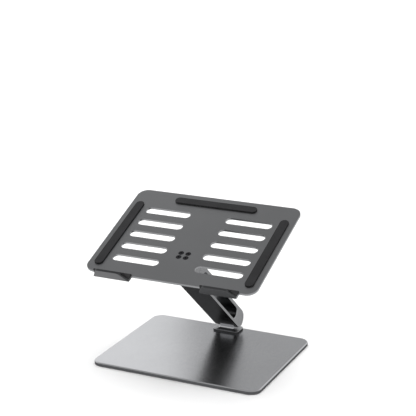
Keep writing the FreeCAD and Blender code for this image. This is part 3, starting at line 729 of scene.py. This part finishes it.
def make_pivot_caps():
    """One turned cap with a slightly dished face, and a copy of it in each recess of the arm."""
    low, high = local_box("lower_pivot_cap_right", BASE_PLACE)
    cap = begin_rod("pivot_cap", high.z, low.x, high.x)
    mark(cap, "FACE", lambda face: faces(face, 0, 1))
    bpy.ops.mesh.region_to_loop()
    bevel(CAP_EDGE, 3)
    # the dished middle of its outer face
    mark(cap, "FACE", lambda face: faces(face, 0, 1))
    bpy.ops.mesh.inset(thickness=CAP_RIM)
    bpy.ops.mesh.inset(thickness=CAP_DISH, depth=-CAP_DISH)
    close_up(cap)
    finish(cap, [ARM_GREY])
    for hinge, axis in (("lower", LOWER_AXIS), ("upper", UPPER_AXIS)):
        for side, turn in (("left", pi), ("right", 0)):
            twin = copy_piece(cap, f"{hinge}_cap_{side}_turned")
            set_down(twin, Matrix.Translation(axis) @ Matrix.Rotation(turn, 4, "Z"))
            stands_for(twin, "arm", "grey_anodised", f"{hinge}_pivot_cap_{side}")
    bpy.data.objects.remove(cap)


# ---- rubber on the tray, and the screws that hold it --------------------------------------------

PAD_THICKNESS = 2 * MM
PAD_EDGE = 0.6 * MM
PAD_FLAT = 0.05 * MM
LINER_SOLE = 8 * MM
LINER_LIP = 12.4 * MM
LINER_TAPER = 3 * MM
LINER_BREAK = 0.3 * MM


def make_hook_liners():
    """A rubber liner in each hook: a sole on the tab, bent up the lip, narrower at its top."""
    low, high = local_box("hook_pad_right", TRAY_PLACE)
    half = (high.x - low.x) / 2
    liner = begin_block("hook_liner_right", (-half, BEND_Y, TRAY_TOP),
                        (half, BEND_Y + LINER_SOLE, TRAY_TOP + PAD_THICKNESS))
    mark(liner, "FACE", lambda face: faces(face, 1, -1))
    bend_up(LINER_LIP)
    mark(liner, "VERT", lambda vertex: up_the_lip(vertex.co) > LINER_LIP - LIP_NEAR)
    widen(1 - LINER_TAPER / half)
    close_up(liner)
    break_edges(liner, LINER_BREAK)
    finish(liner, [SILICONE])
    twin = copy_piece(liner, "hook_liner_left")
    for piece, side, node in ((liner, 1, "hook_pad_right"), (twin, -1, "hook_pad_left")):
        set_down(piece, TRAY_PLACE @ Matrix.Translation((side * hook_middle(), 0, 0)))
        stands_for(piece, "tray", "black_rubber", node)


def make_pad(name, node):
    """A round-ended rubber pad with a softly rounded top edge."""
    low, high = local_box(node, TRAY_PLACE)
    pad = begin_block(name, low, high)
    round_corners(pad, min(high.x - low.x, high.y - low.y) / 2 - PAD_FLAT, 12)
    bevel_rim(pad, 1, PAD_EDGE, 4)
    close_up(pad)
    finish(pad, [SILICONE])
    return pad


def make_tray_pads():
    """The pad at the tray's back and the long pad at its left, which is copied to its right."""
    back = make_pad("back_rubber_pad", "tray_pad_back")
    stands_for(set_down(back, TRAY_PLACE), "tray", "black_rubber", "tray_pad_back")
    left = make_pad("long_rubber_pad_left", "tray_pad_left")
    right = copy_piece(left, "long_rubber_pad_right")
    across = local_box("tray_pad_right", TRAY_PLACE)[0].x - local_box("tray_pad_left", TRAY_PLACE)[0].x
    stands_for(set_down(left, TRAY_PLACE), "tray", "black_rubber", "tray_pad_left")
    set_down(right, TRAY_PLACE @ Matrix.Translation((across, 0, 0)))
    stands_for(right, "tray", "black_rubber", "tray_pad_right")


SCREW_LENGTH = 11 * MM
SOCKET_RADIUS = 1.44 * MM
SOCKET_DEPTH = 1.3 * MM
SCREW_BREAK = 0.1 * MM


def make_tray_screws():
    """One countersunk screw with a hex socket, and its copies in the four sinks of the tray."""
    screw = begin("tray_screw", bpy.ops.mesh.primitive_cone_add, vertices=48, radius1=SCREW_SHANK,
                  radius2=SCREW_HEAD, depth=SCREW_SINK, location=(0, 0, TRAY_TOP - SCREW_SINK / 2))
    mark(screw, "FACE", lambda face: faces(face, 2, -1))
    push((0, 0, SCREW_SINK - SCREW_LENGTH))
    close_up(screw)
    socket = begin("socket", bpy.ops.mesh.primitive_cylinder_add, vertices=6, radius=SOCKET_RADIUS,
                   depth=2 * SOCKET_DEPTH, location=(0, 0, TRAY_TOP))
    combine(screw, close_up(socket))
    break_edges(screw, SCREW_BREAK)
    finish(screw, [BLACK_SCREW])
    for number, (screw_x, screw_y) in enumerate(screw_places(), start=1):
        twin = copy_piece(screw, f"tray_screw_{number}")
        set_down(twin, TRAY_PLACE @ Matrix.Translation((screw_x, screw_y, 0)))
        stands_for(twin, "tray", "dark_screws", "upper_bracket_screws")
    bpy.data.objects.remove(screw)


make_base_plate()
make_base_mat()
make_arm()
make_tray()
make_brackets()
make_pivot_caps()
make_hook_liners()
make_tray_pads()
make_tray_screws()


# ---- floor, light and camera ------------------------------------------------------------

FLOOR_SIZE = 30
FLOOR_WHITE = 0.93
SKY_POWER = 2.8
SKY_SPREAD = radians(80)
BRIGHT_SIDE = (-0.55, 0.8, 0.22)
STUDIO_BRIGHT = 0.65
STUDIO_DIM = 0.55
STUDIO_GROUND = 1.8
STUDIO_CEILING = 0.6
SIDE_FADE = (-0.3, 1.0)
GROUND_FADE = (-0.5, 0.02)
CEILING_FADE = (0.4, 0.8)
CARD_WIDTH = 1.2
CARD_HEIGHT = 0.9
CARD_POWER = 2.6
CARD_MIDDLE = (-1.03, 0.85, 0.65)
CAMERA_AZIMUTH = radians(24.15)
CAMERA_ELEVATION = radians(15.92)
CAMERA_ROLL = radians(0.46)
CAMERA_TARGET = Vector((5.44, 0, 208.35)) * MM
CAMERA_DISTANCE = 1.6965
CAMERA_LENS = 110.98
CAMERA_SENSOR = 36


def make_floor():
    bpy.ops.object.select_all(action="DESELECT")
    bpy.ops.mesh.primitive_plane_add(size=FLOOR_SIZE)
    floor = bpy.context.object
    floor.name = "floor"
    material, nodes, links = new_material("pale_floor")
    shader = nodes["Principled BSDF"]
    shader.inputs["Base Color"].default_value = (FLOOR_WHITE, FLOOR_WHITE, FLOOR_WHITE, 1)
    shader.inputs["Roughness"].default_value = 0.9
    floor.data.materials.append(material)
    floor.visible_glossy = False


def make_sky_light():
    """A very soft light from overhead that lights the floor and the rubber, not the bare metal."""
    lamp = bpy.data.lights.new("overhead", "SUN")
    lamp.angle = SKY_SPREAD
    lamp.energy = SKY_POWER
    light = bpy.data.objects.new("overhead", lamp)
    light.visible_glossy = False
    bpy.context.scene.collection.objects.link(light)


def fade(nodes, links, source, across, levels):
    """Pass softly from the first level to the second where the source runs across its two values."""
    remap = nodes.new("ShaderNodeMapRange")
    remap.interpolation_type = "SMOOTHSTEP"
    for socket, value in zip(("From Min", "From Max", "To Min", "To Max"), (*across, *levels)):
        remap.inputs[socket].default_value = value
    links.new(source, remap.inputs["Value"])
    return remap.outputs["Result"]


def times(nodes, links, first, second):
    product = nodes.new("ShaderNodeMath")
    product.operation = "MULTIPLY"
    links.new(first, product.inputs[0])
    links.new(second, product.inputs[1])
    return product.outputs["Value"]


def make_back_card():
    """A tall soft light behind the stand, to its left, that the satin metal reflects."""
    lamp = bpy.data.lights.new("back_card", "AREA")
    lamp.shape = "RECTANGLE"
    lamp.size = CARD_WIDTH
    lamp.size_y = CARD_HEIGHT
    lamp.energy = CARD_POWER
    card = bpy.data.objects.new("back_card", lamp)
    card.matrix_world = Matrix.Translation(CARD_MIDDLE) @ Matrix.Rotation(-pi / 2, 4, "X")
    card.visible_camera = False
    bpy.context.scene.collection.objects.link(card)


def make_studio():
    """A pale studio: brightest low at the back left, dim overhead, darker towards the front."""
    world = bpy.data.worlds.new("studio")
    world.use_nodes = True
    nodes, links = world.node_tree.nodes, world.node_tree.links
    direction = nodes.new("ShaderNodeTexCoord").outputs["Generated"]
    towards = nodes.new("ShaderNodeVectorMath")
    towards.operation = "DOT_PRODUCT"
    towards.inputs[1].default_value = Vector(BRIGHT_SIDE).normalized()
    links.new(direction, towards.inputs[0])
    glow = fade(nodes, links, towards.outputs["Value"], SIDE_FADE, (STUDIO_DIM, STUDIO_BRIGHT))
    height = nodes.new("ShaderNodeSeparateXYZ")
    links.new(direction, height.inputs[0])
    ground = fade(nodes, links, height.outputs["Z"], GROUND_FADE, (STUDIO_GROUND, 1.0))
    ceiling = fade(nodes, links, height.outputs["Z"], CEILING_FADE, (1.0, STUDIO_CEILING))
    background = nodes["Background"]
    background.inputs["Color"].default_value = (1, 1, 1, 1)
    level = times(nodes, links, glow, times(nodes, links, ground, ceiling))
    links.new(level, background.inputs["Strength"])
    bpy.context.scene.world = world


def make_camera():
    """The viewpoint: to the right of the middle and a little above, through a long lens."""
    lens = bpy.data.cameras.new("camera")
    lens.sensor_width = CAMERA_SENSOR
    lens.lens = CAMERA_LENS
    camera = bpy.data.objects.new("camera", lens)
    bpy.context.scene.collection.objects.link(camera)
    turn = (Matrix.Rotation(CAMERA_AZIMUTH, 4, "Z") @ Matrix.Rotation(pi / 2 - CAMERA_ELEVATION, 4, "X")
            @ Matrix.Rotation(CAMERA_ROLL, 4, "Z"))
    away = turn @ Vector((0, 0, CAMERA_DISTANCE))
    camera.matrix_world = Matrix.Translation(CAMERA_TARGET + away) @ turn
    bpy.context.scene.camera = camera


make_floor()
make_sky_light()
make_back_card()
make_studio()
bpy.context.scene.view_settings.view_transform = "Standard"
make_camera()
